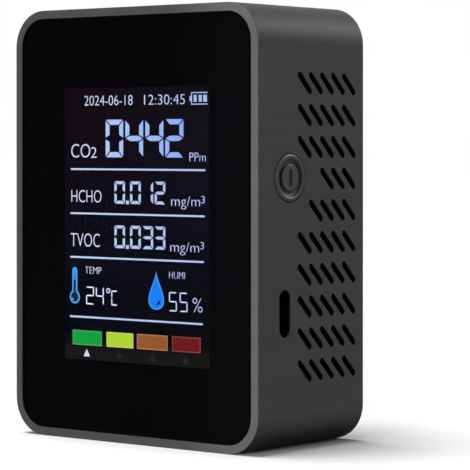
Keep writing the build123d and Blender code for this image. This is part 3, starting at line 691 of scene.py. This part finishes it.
def segmentDigit(character, left, top, width, height, stroke, gap):
    # the seven bars of a digit, mitred where they meet, each drawn in by half the gap
    right, bottom, middle, half = left + width, top + height, top + height / 2, stroke / 2
    inLeft, inRight = left + stroke, right - stroke
    bars = {
        "a": [(left, top), (right, top), (inRight, top + stroke), (inLeft, top + stroke)],
        "b": [(right, top), (right, middle), (inRight, middle - half), (inRight, top + stroke)],
        "c": [(right, middle), (right, bottom), (inRight, bottom - stroke), (inRight, middle + half)],
        "d": [(inLeft, bottom - stroke), (inRight, bottom - stroke), (right, bottom), (left, bottom)],
        "e": [(left, middle), (inLeft, middle + half), (inLeft, bottom - stroke), (left, bottom)],
        "f": [(left, top), (inLeft, top + stroke), (inLeft, middle - half), (left, middle)],
        "g": [
            (left, middle), (inLeft, middle - half), (inRight, middle - half), (right, middle),
            (inRight, middle + half), (inLeft, middle + half),
        ],
    }
    return [insetOutline(np.array(bars[bar], float), gap / 2) for bar in litBars[character]]


def segmentNumber(look):
    # one digit to a cell, each cell given by its left edge
    return [
        outline
        for character, left in zip(look["digits"], look["lefts"])
        for outline in segmentDigit(
            character, left, look["top"], look["width"], look["height"], look["stroke"], look["gap"],
        )
    ]


def lettering(name, text, look, material):
    # plain lettering, made a mesh and then fitted to a box: each coordinate c becomes
    # low + (c - least) / (most - least) x size, and the flat letters get the lit shapes' thickness
    curve = bpy.data.curves.new(name, "FONT")
    curve.body = text
    curve.extrude = 0.5  # any depth above 0 does, because the fit sets it anew
    curve.resolution_u = 4
    curve.offset = look["thin"]
    letters = newObject(name + "_curve", curve)
    shape = letters.evaluated_get(bpy.context.evaluated_depsgraph_get())
    mesh = bpy.data.meshes.new_from_object(shape)
    bpy.data.objects.remove(letters)
    bpy.data.curves.remove(curve)
    corners = np.zeros(len(mesh.vertices) * 3, np.float32)
    mesh.vertices.foreach_get("co", corners)
    corners = corners.reshape(-1, 3)
    share = (corners - corners.min(0)) / (corners.max(0) - corners.min(0))
    x, z = placeOf(
        look["left"] + share[:, 0] * (look["right"] - look["left"]),
        look["bottom"] + share[:, 1] * (look["top"] - look["bottom"]),
    )
    rear, front = layerDepths(0)
    placed = np.stack([x, rear + share[:, 2] * (front - rear), z], 1)
    mesh.vertices.foreach_set("co", placed.astype(np.float32).ravel())
    mesh.name = name
    return finishPiece(name, mesh, material)


# Lit liquid crystal cells seen through the film: they give off their own light, whiter at the left
# and bluer to the right as the panel is seen more from the side, with a slight mottle.
def litCells(name, look):
    material, tree, coordinates = newMaterial(name)
    across, _ = acrossFilm(tree, coordinates)
    mottle = addNode(
        tree, "TexNoise", {"Scale": 1 / (look["mottleMm"] * mm), "Detail": 1.0},
        {"Vector": coordinates},
    )
    shade = addNode(
        tree, "MapRange", {"To Min": -look["mottle"], "To Max": look["mottle"]},
        {"Value": mottle},
    )
    place = addNode(tree, "Math", links={0: across, 1: shade}, operation="ADD")
    ramp = addNode(tree, "ValToRGB", links={"Fac": place})
    if look.get("steps"):
        ramp.color_ramp.interpolation = "CONSTANT"
    shader = addNode(
        tree, "BsdfPrincipled",
        {
            "Base Color": linearColour(look["unlit"]), "Roughness": look["roughness"],
            "Specular IOR Level": look["specular"], "Emission Strength": look["glow"],
        },
        {"Emission Color": fillRamp(ramp, look["colours"])},
    )
    return surfaced(material, shader)


digitLook = {
    "colours": [(0.2, "#B6CFFB"), (0.5, "#A3C0F6"), (0.9, "#86A8F8")], "mottleMm": 1.0, "mottle": 0.12,
    "glow": 1.35, "unlit": "#050507", "roughness": 0.5, "specular": 0.1,
}
labelLook = dict(digitLook, colours=[(0.1, "#D8DEF8"), (0.5, "#CAD5FA"), (0.9, "#B2BEF0")])
# thin strokes are driven harder, so that they read as white as the broad ones
fineLook = dict(labelLook, glow=1.85)
finestLook = dict(labelLook, glow=2.7)
ruleLook = dict(labelLook, colours=[(0.1, "#C6D8F8"), (0.5, "#BED2FC"), (0.9, "#BACCFC")])
smallDigitLook = dict(digitLook, colours=[(0.2, "#C2D4FA"), (0.5, "#B6CAF4"), (0.9, "#A6BCF2")])
digitMaterial = litCells("liquid_crystal_lit_blue", digitLook)
smallDigitMaterial = litCells("liquid_crystal_lit_pale_blue", smallDigitLook)
labelMaterial = litCells("liquid_crystal_lit_white", labelLook)
fineMaterial = litCells("liquid_crystal_lit_bright", fineLook)
finestMaterial = litCells("liquid_crystal_lit_brightest", finestLook)
ruleMaterial = litCells("liquid_crystal_lit_cool", ruleLook)

# Top row: a plain date and time, and the battery's charge.
dateLook = {"left": 6.3, "right": 19.35, "top": 2.55, "bottom": 4.55, "thin": -0.01}
clockLook = dict(dateLook, left=22.4, right=33.0)
lettering("date_digits", "2024-06-18", dateLook, labelMaterial)
lettering("clock_digits", "12:30:45", clockLook, labelMaterial)
batteryLook = {
    "left": 34.6, "right": 38.75, "top": 2.2, "bottom": 4.65, "rail": 0.2, "nub": (34.2, 2.95, 34.7, 3.95),
    "cells": [(35.25, 36.0), (36.5, 37.3), (37.65, 38.6)], "cellInset": 0.55,
}


def batterySymbol(look):
    # the three rails of the outline, which is open at the right, the nub at its left, and the charge cells
    left, top, right, bottom = look["left"], look["top"], look["right"], look["bottom"]
    rail = look["rail"]
    rails = [
        boxOutline(left, top, right, top + rail), boxOutline(left, bottom - rail, right, bottom),
        boxOutline(left, top + rail, left + rail, bottom - rail),
    ]
    cells = [
        boxOutline(start, top + look["cellInset"], end, bottom - look["cellInset"])
        for start, end in look["cells"]
    ]
    return rails + [boxOutline(*look["nub"])] + cells


litShapes("battery_symbol", batterySymbol(batteryLook), smallDigitMaterial)

# The gas readings: large digits for carbon dioxide, and two rows of smaller ones.
carbonDigits = {
    "digits": "0442", "lefts": (12.0, 17.3, 22.6, 27.8), "top": 7.3, "width": 4.95, "height": 7.8,
    "stroke": 1.3, "gap": 0.26,
}
formaldehydeDigits = {
    "digits": "0012", "lefts": (14.4, 18.6, 21.85, 25.05), "top": 19.65, "width": 3.0, "height": 4.7,
    "stroke": 0.8, "gap": 0.2,
}
organicDigits = dict(formaldehydeDigits, digits="0033", top=28.5, height=4.75)
pointSize = 0.75
pointLeft = 17.6
litShapes("co2_digits", segmentNumber(carbonDigits), digitMaterial)
for pieceName, look in (("hcho_digits", formaldehydeDigits), ("tvoc_digits", organicDigits)):
    foot = look["top"] + look["height"]
    point = boxOutline(pointLeft, foot - pointSize, pointLeft + pointSize, foot)
    litShapes(pieceName, segmentNumber(look) + [point], smallDigitMaterial)

# how each kind of stroke is lit, and how far its letters are thinned
strokeKinds = {
    "broad": (labelMaterial, -0.012), "fine": (fineMaterial, -0.017), "finest": (finestMaterial, -0.03),
}
labels = {
    "co2_label": ("CO", "broad", {"left": 2.68, "right": 7.9, "top": 12.3, "bottom": 15.05}),
    "co2_label_two": ("2", "broad", {"left": 8.1, "right": 9.7, "top": 12.95, "bottom": 15.1}),
    "co2_unit": ("PPm", "fine", {"left": 34.18, "right": 38.3, "top": 14.0, "bottom": 15.7}),
    "hcho_label": ("HCHO", "broad", {"left": 2.72, "right": 10.97, "top": 21.63, "bottom": 24.12}),
    "hcho_unit": ("mg/m", "fine", {"left": 29.48, "right": 36.85, "top": 22.5, "bottom": 25.1}),
    "hcho_unit_three": ("3", "fine", {"left": 37.15, "right": 38.05, "top": 22.45, "bottom": 23.85}),
    "tvoc_label": ("TVOC", "broad", {"left": 2.52, "right": 10.52, "top": 30.4, "bottom": 33.1}),
    "tvoc_unit": ("mg/m", "fine", {"left": 29.26, "right": 36.6, "top": 31.5, "bottom": 34.08}),
    "tvoc_unit_three": ("3", "fine", {"left": 36.9, "right": 37.82, "top": 31.4, "bottom": 32.8}),
    "temp_label": ("TEMP", "finest", {"left": 6.5, "right": 10.9, "top": 37.15, "bottom": 38.5}),
    "humi_label": ("HUMI", "finest", {"left": 28.95, "right": 32.95, "top": 37.4, "bottom": 38.75}),
    "humi_percent": ("%", "fine", {"left": 34.97, "right": 37.48, "top": 42.32, "bottom": 45.1}),
}
for pieceName, (text, strokes, look) in labels.items():
    material, thin = strokeKinds[strokes]
    lettering(pieceName, text, dict(look, thin=thin), material)

rulesLook = {
    "thick": 0.36,
    # each rule's left, right and down
    "spans": [(2.57, 38.2, 17.22), (2.48, 38.0, 26.19), (2.44, 37.77, 35.08), (2.34, 37.55, 47.18)],
}
litShapes(
    "dividing_rules",
    [boxOutline(left, down, right, down + rulesLook["thick"]) for left, right, down in rulesLook["spans"]],
    ruleMaterial,
)

# Temperature: a thermometer, two thin digits and the degree sign.
tempDigits = {
    "digits": "24", "lefts": (6.75, 9.4), "top": 41.1, "width": 2.2, "height": 3.7, "stroke": 0.34,
    "gap": 0.1,
}
celsiusLetter = dict(tempDigits, digits="C", lefts=(13.6,), top=41.65, width=1.75, height=3.1)
degreeRing = {"centre": (12.8, 41.8), "radius": 0.52, "stroke": 0.2, "parts": 24}


def ringShapes(look):
    # a flat ring as short blocks side by side: block i lies between the angles of i and i+1
    outer = ringArc(look["centre"], look["radius"], 0, 360, look["parts"] + 1)
    inner = ringArc(look["centre"], look["radius"] - look["stroke"], 0, 360, look["parts"] + 1)
    return list(np.stack([outer[:-1], outer[1:], inner[1:], inner[:-1]], 1))


litShapes("temp_digits", segmentNumber(tempDigits), fineMaterial)
litShapes("temp_unit", segmentNumber(celsiusLetter) + ringShapes(degreeRing), fineMaterial)
humiDigits = dict(tempDigits, digits="55", lefts=(28.85, 31.6), top=41.35, width=2.1, height=3.9)
litShapes("humi_digits", segmentNumber(humiDigits), fineMaterial)

thermometerLook = {
    "middle": 3.66, "tubeHalf": 0.66, "tubeTop": 37.35, "bulbDown": 43.36, "bulbRadius": 1.36, "wall": 0.38,
    "fillFoot": 39.85, "channelHalf": 0.27, "edge": 0.16,
    "crescent": (3.66, 43.36), "crescentRadius": 0.82, "crescentThick": 0.22, "crescentDeg": (100, 175),
    "capPoints": 13, "bulbPoints": 37, "insidePoints": 24,
}


def flaskOutline(look, inset):
    # a round-topped tube that runs down into a round bulb: the tube's wall meets the bulb's circle at
    # the angle whose sine is half the tube's width over the radius
    half, radius = look["tubeHalf"] - inset, look["bulbRadius"] - inset
    meet = math.degrees(math.asin(half / radius))
    cap = ringArc((look["middle"], look["tubeTop"] + inset + half), half, 180, 360, look["capPoints"])
    bulb = ringArc((look["middle"], look["bulbDown"]), radius, -90 + meet, 270 - meet, look["bulbPoints"])
    return np.concatenate([cap, bulb])


skyLook = dict(digitLook, colours=[(0.0, "#0C98F6"), (0.3, "#008CFC"), (0.6, "#007EFF")], mottle=0.05)
skyMaterial = litCells("liquid_crystal_lit_sky", skyLook)
shadeLook = dict(skyLook, colours=[(0.0, "#00063A"), (0.5, "#020A2C"), (1.0, "#020A2C")])
shadeMaterial = litCells("liquid_crystal_shaded", shadeLook)
paleLook = dict(skyLook, colours=[(0.0, "#78BCEE"), (0.3, "#6AB2F6"), (0.6, "#58A6F8")])
paleMaterial = litCells("liquid_crystal_lit_pale", paleLook)


def flaskInside(look):
    # the unlit channel up the tube, and the round inside of the bulb
    inner = look["bulbRadius"] - look["wall"]
    channel = boxOutline(
        look["middle"] - look["channelHalf"], look["fillFoot"], look["middle"] + look["channelHalf"],
        look["bulbDown"] - inner,
    )
    count = look["insidePoints"]
    return [channel, ringArc((look["middle"], look["bulbDown"]), inner, 0, 360 - 360 / count, count)]


litShapes("thermometer_edge", [flaskOutline(thermometerLook, 0)], paleMaterial)
litShapes(
    "thermometer_symbol", [flaskOutline(thermometerLook, thermometerLook["edge"])], skyMaterial, layer=1,
)
litShapes("thermometer_inside", flaskInside(thermometerLook), shadeMaterial, layer=2)


def crescentOutline(look, points=13):
    # two arcs about one centre line, the inner one pulled in so that the ends come to points
    outer = ringArc(look["crescent"], look["crescentRadius"], *look["crescentDeg"], points)
    away = np.linspace(-1, 1, points)
    thick = look["crescentThick"] * (1 - away ** 2)
    centre = np.asarray(look["crescent"])
    inner = outer + (centre - outer) / look["crescentRadius"] * thick[:, None]
    return np.concatenate([outer, inner[-2:0:-1]])


litShapes("thermometer_gleam", [crescentOutline(thermometerLook)], paleMaterial, layer=3)

# Humidity: a drop with a pale edge and a dark crescent low on its right.
dropLook = {
    "tip": (25.55, 37.35), "bottom": 45.05, "half": 2.03, "edge": 0.2, "points": 60, "slim": 2.25,
    "widest": 0.6274,
    "crescent": (25.42, 42.97), "crescentRadius": 1.35, "crescentThick": 0.6, "crescentDeg": (10, 80),
}


def dropOutline(look, inset):
    # half width = half sin(t) sin(t/2)^slim / widest and depth = (1 - cos t) / 2 of the height, for t from
    # 0 at the tip to a full turn; widest is the most that the product reaches, at 122 degrees. An inset
    # drop starts two insets under the sharp tip and ends one above the foot.
    t = np.linspace(0, 2 * math.pi, look["points"], endpoint=False)
    tipAcross, tipDown = look["tip"]
    tall = look["bottom"] - tipDown - 3 * inset
    bulge = np.sin(t) * np.sin(t / 2) ** look["slim"] / look["widest"]
    return np.stack(
        [tipAcross + (look["half"] - inset) * bulge, tipDown + 2 * inset + (1 - np.cos(t)) / 2 * tall], 1,
    )


litShapes("drop_edge", [dropOutline(dropLook, 0)], paleMaterial)
litShapes("drop_symbol", [dropOutline(dropLook, dropLook["edge"])], skyMaterial, layer=1)
litShapes("drop_crescent", [crescentOutline(dropLook)], shadeMaterial, layer=2)

# Air quality: four bars from good to bad, a mark under the one that is meant, and three dim marks.
barsLook = {
    "top": 50.07, "bottom": 53.05, "spans": [(3.05, 11.05), (12.35, 19.5), (20.5, 28.5), (29.7, 37.0)],
    "edge": 0.18, "markTop": 53.8, "markBottom": 55.3, "markHalf": 0.85, "marks": (6.95, 15.8, 24.5, 33.2),
}
# a bar's colour starts halfway across the gap before it
barStarts = [0.0] + [
    (before[1] + after[0]) / 2 / filmWide for before, after in zip(barsLook["spans"], barsLook["spans"][1:])
]
barColours = dict(
    skyLook, mottle=0.0, steps=True,
    colours=list(zip(barStarts, ("#009F36", "#B1D42C", "#955422", "#6A0902"))),
)
edgeColours = dict(barColours, colours=list(zip(barStarts, ("#50A86A", "#C8DA74", "#B48464", "#884440"))))
barOutlines = [
    boxOutline(left, barsLook["top"], right, barsLook["bottom"]) for left, right in barsLook["spans"]
]
litShapes("level_bar_edges", barOutlines, litCells("liquid_crystal_lit_bar_edges", edgeColours))
litShapes(
    "level_bars", [insetOutline(outline, barsLook["edge"]) for outline in barOutlines],
    litCells("liquid_crystal_lit_bars", barColours), layer=1,
)


def markOutline(middle):
    # a triangle that points up at a bar
    top, bottom, half = barsLook["markTop"], barsLook["markBottom"], barsLook["markHalf"]
    return np.array([(middle, top), (middle + half, bottom), (middle - half, bottom)], float)


litShapes("level_mark", [markOutline(barsLook["marks"][0])], labelMaterial)
dimLook = dict(skyLook, colours=[(0.0, "#222426"), (0.5, "#1E2023"), (1.0, "#181A1C")])
dimMaterial = litCells("liquid_crystal_dim", dimLook)
litShapes("level_marks_dim", [markOutline(middle) for middle in barsLook["marks"][1:]], dimMaterial)
print("display shapes made")

# The camera turns about a spot on the object: towards the button's side by turnDeg, and up by pitchDeg.
cameraView = {
    "turnDeg": 39.085, "pitchDeg": 0.483, "distance": 0.478164, "target": (0.01256, 0, 0.055413),
    "lensMm": 182.46, "sensorMm": 36, "shiftY": -0.14826,
}
turn, pitch = math.radians(cameraView["turnDeg"]), math.radians(cameraView["pitchDeg"])
back = Vector((math.sin(turn) * math.cos(pitch), -math.cos(turn) * math.cos(pitch), math.sin(pitch)))
camera = newObject("camera", bpy.data.cameras.new("camera"))
camera.data.lens = cameraView["lensMm"]
camera.data.sensor_width = cameraView["sensorMm"]
camera.data.shift_y = cameraView["shiftY"]
camera.data.clip_start = 0.01
camera.location = Vector(cameraView["target"]) + back * cameraView["distance"]
camera.rotation_euler = back.to_track_quat("Z", "Y").to_euler()
bpy.context.scene.camera = camera


def seenDirectly(tree):
    # 1 for what the camera sees, straight or by way of a mirror or glass, and 0 for light that bounces
    rays = addNode(tree, "LightPath")
    first = addNode(
        tree, "Math", links={0: rays.outputs["Is Camera Ray"], 1: rays.outputs["Is Glossy Ray"]},
        operation="MAXIMUM",
    )
    return addNode(
        tree, "Math", links={0: first, 1: rays.outputs["Is Transmission Ray"]},
        operation="MAXIMUM",
    )


# A white sweep to stand on: it keeps the shadow, and it sends little light back up.
floorLook = {"halfWide": 6.0, "seen": "#FFFFFF", "bounced": "#404040"}


def studioFloor(look):
    wide = look["halfWide"]
    corners = [(-wide, -wide, 0), (wide, -wide, 0), (wide, wide, 0), (-wide, wide, 0)]
    mesh = bpy.data.meshes.new("floor")
    mesh.from_pydata(corners, [], [(0, 1, 2, 3)])
    newObject("floor", mesh)
    material, tree, _ = newMaterial("card_white_matt")
    colour = addNode(
        tree, "Mix", {"A": linearColour(look["bounced"]), "B": linearColour(look["seen"])},
        {"Factor": seenDirectly(tree)}, data_type="RGBA",
    )
    shader = addNode(tree, "BsdfDiffuse", links={"Color": colour.outputs["Result"]})
    mesh.materials.append(surfaced(material, shader))


studioFloor(floorLook)

# The room: white to the camera and in reflections, dim as a light.
worldLook = {"colour": "#FFFFFF", "seen": 1.0, "onObject": 0.12}


def studioWorld(look):
    world = bpy.data.worlds.new("studio")
    bpy.context.scene.world = world
    world.use_nodes = True
    tree = world.node_tree
    tree.nodes.clear()
    strength = addNode(
        tree, "MapRange", {"To Min": look["onObject"], "To Max": look["seen"]},
        {"Value": seenDirectly(tree)},
    )
    background = addNode(
        tree, "Background", {"Color": linearColour(look["colour"])}, {"Strength": strength},
    )
    addNode(tree, "OutputWorld", links={"Surface": background})


studioWorld(worldLook)

keyLook = {"towards": (-0.86, -0.51), "tiltDeg": 11.5, "angleDeg": 32, "strength": 2.85}


def addKey(look):
    # a very wide soft source high above, tilted a little towards the left front
    tilt = math.radians(look["tiltDeg"])
    upwards = Vector((*(math.sin(tilt) * c for c in look["towards"]), math.cos(tilt)))
    lamp = newObject("key", bpy.data.lights.new("key", "SUN"))
    lamp.data.energy = look["strength"]
    lamp.data.angle = math.radians(look["angleDeg"])
    lamp.rotation_euler = upwards.to_track_quat("Z", "Y").to_euler()


addKey(keyLook)

# a gridded lamp throws a narrow beam, level, at one face and misses the floor
beamLook = {"size": (0.04, 0.12), "spreadDeg": 1.8, "glossy": False, "diffuse": True}
softboxes = {
    "front_fill": dict(
        beamLook, place=(0.06, -0.55, 0.06), aim=(0.0, 0.0, 0.05), size=(0.2, 0.12), power=2.8,
        spreadDeg=180,
    ),
    "side_beam": dict(beamLook, place=(0.222, 0.052, 0.064), aim=(0.032, 0.001, 0.064), power=0.006),
    "left_beam": dict(beamLook, place=(-0.222, 0.052, 0.064), aim=(-0.032, 0.001, 0.064), power=0.0062),
    "rear_beam": dict(
        beamLook, place=(0.0, 0.214, 0.064), aim=(0.0, 0.017, 0.064), size=(0.07, 0.12), power=0.011,
    ),
    "rim_strip": dict(
        beamLook, place=(0.0265, -0.2, 0.041), aim=(0.0265, 0.0, 0.041), size=(0.014, 0.14), power=0.0083,
        spreadDeg=8,
    ),
    "rear_top": dict(
        beamLook, place=(0.3, 0.504, 0.392), aim=(0.03, 0.0, 0.085), size=(0.28, 0.28), power=6.4,
        spreadDeg=180, glossy=True, diffuse=False,
    ),
}


def addSoftbox(name, look):
    # a soft lamp that the camera doesn't see
    lamp = newObject(name, bpy.data.lights.new(name, "AREA"))
    lamp.data.shape = "RECTANGLE"
    lamp.data.size, lamp.data.size_y = look["size"]
    lamp.data.energy = look["power"]
    lamp.data.spread = math.radians(look["spreadDeg"])
    lamp.location = look["place"]
    backwards = Vector(look["place"]) - Vector(look["aim"])
    lamp.rotation_euler = backwards.to_track_quat("Z", "Y").to_euler()
    lamp.visible_camera = False
    lamp.visible_glossy = look["glossy"]
    lamp.visible_diffuse = look["diffuse"]


for lampName, look in softboxes.items():
    addSoftbox(lampName, look)
bpy.context.scene.view_settings.view_transform = "Standard"
print("camera, floor and lamps set")
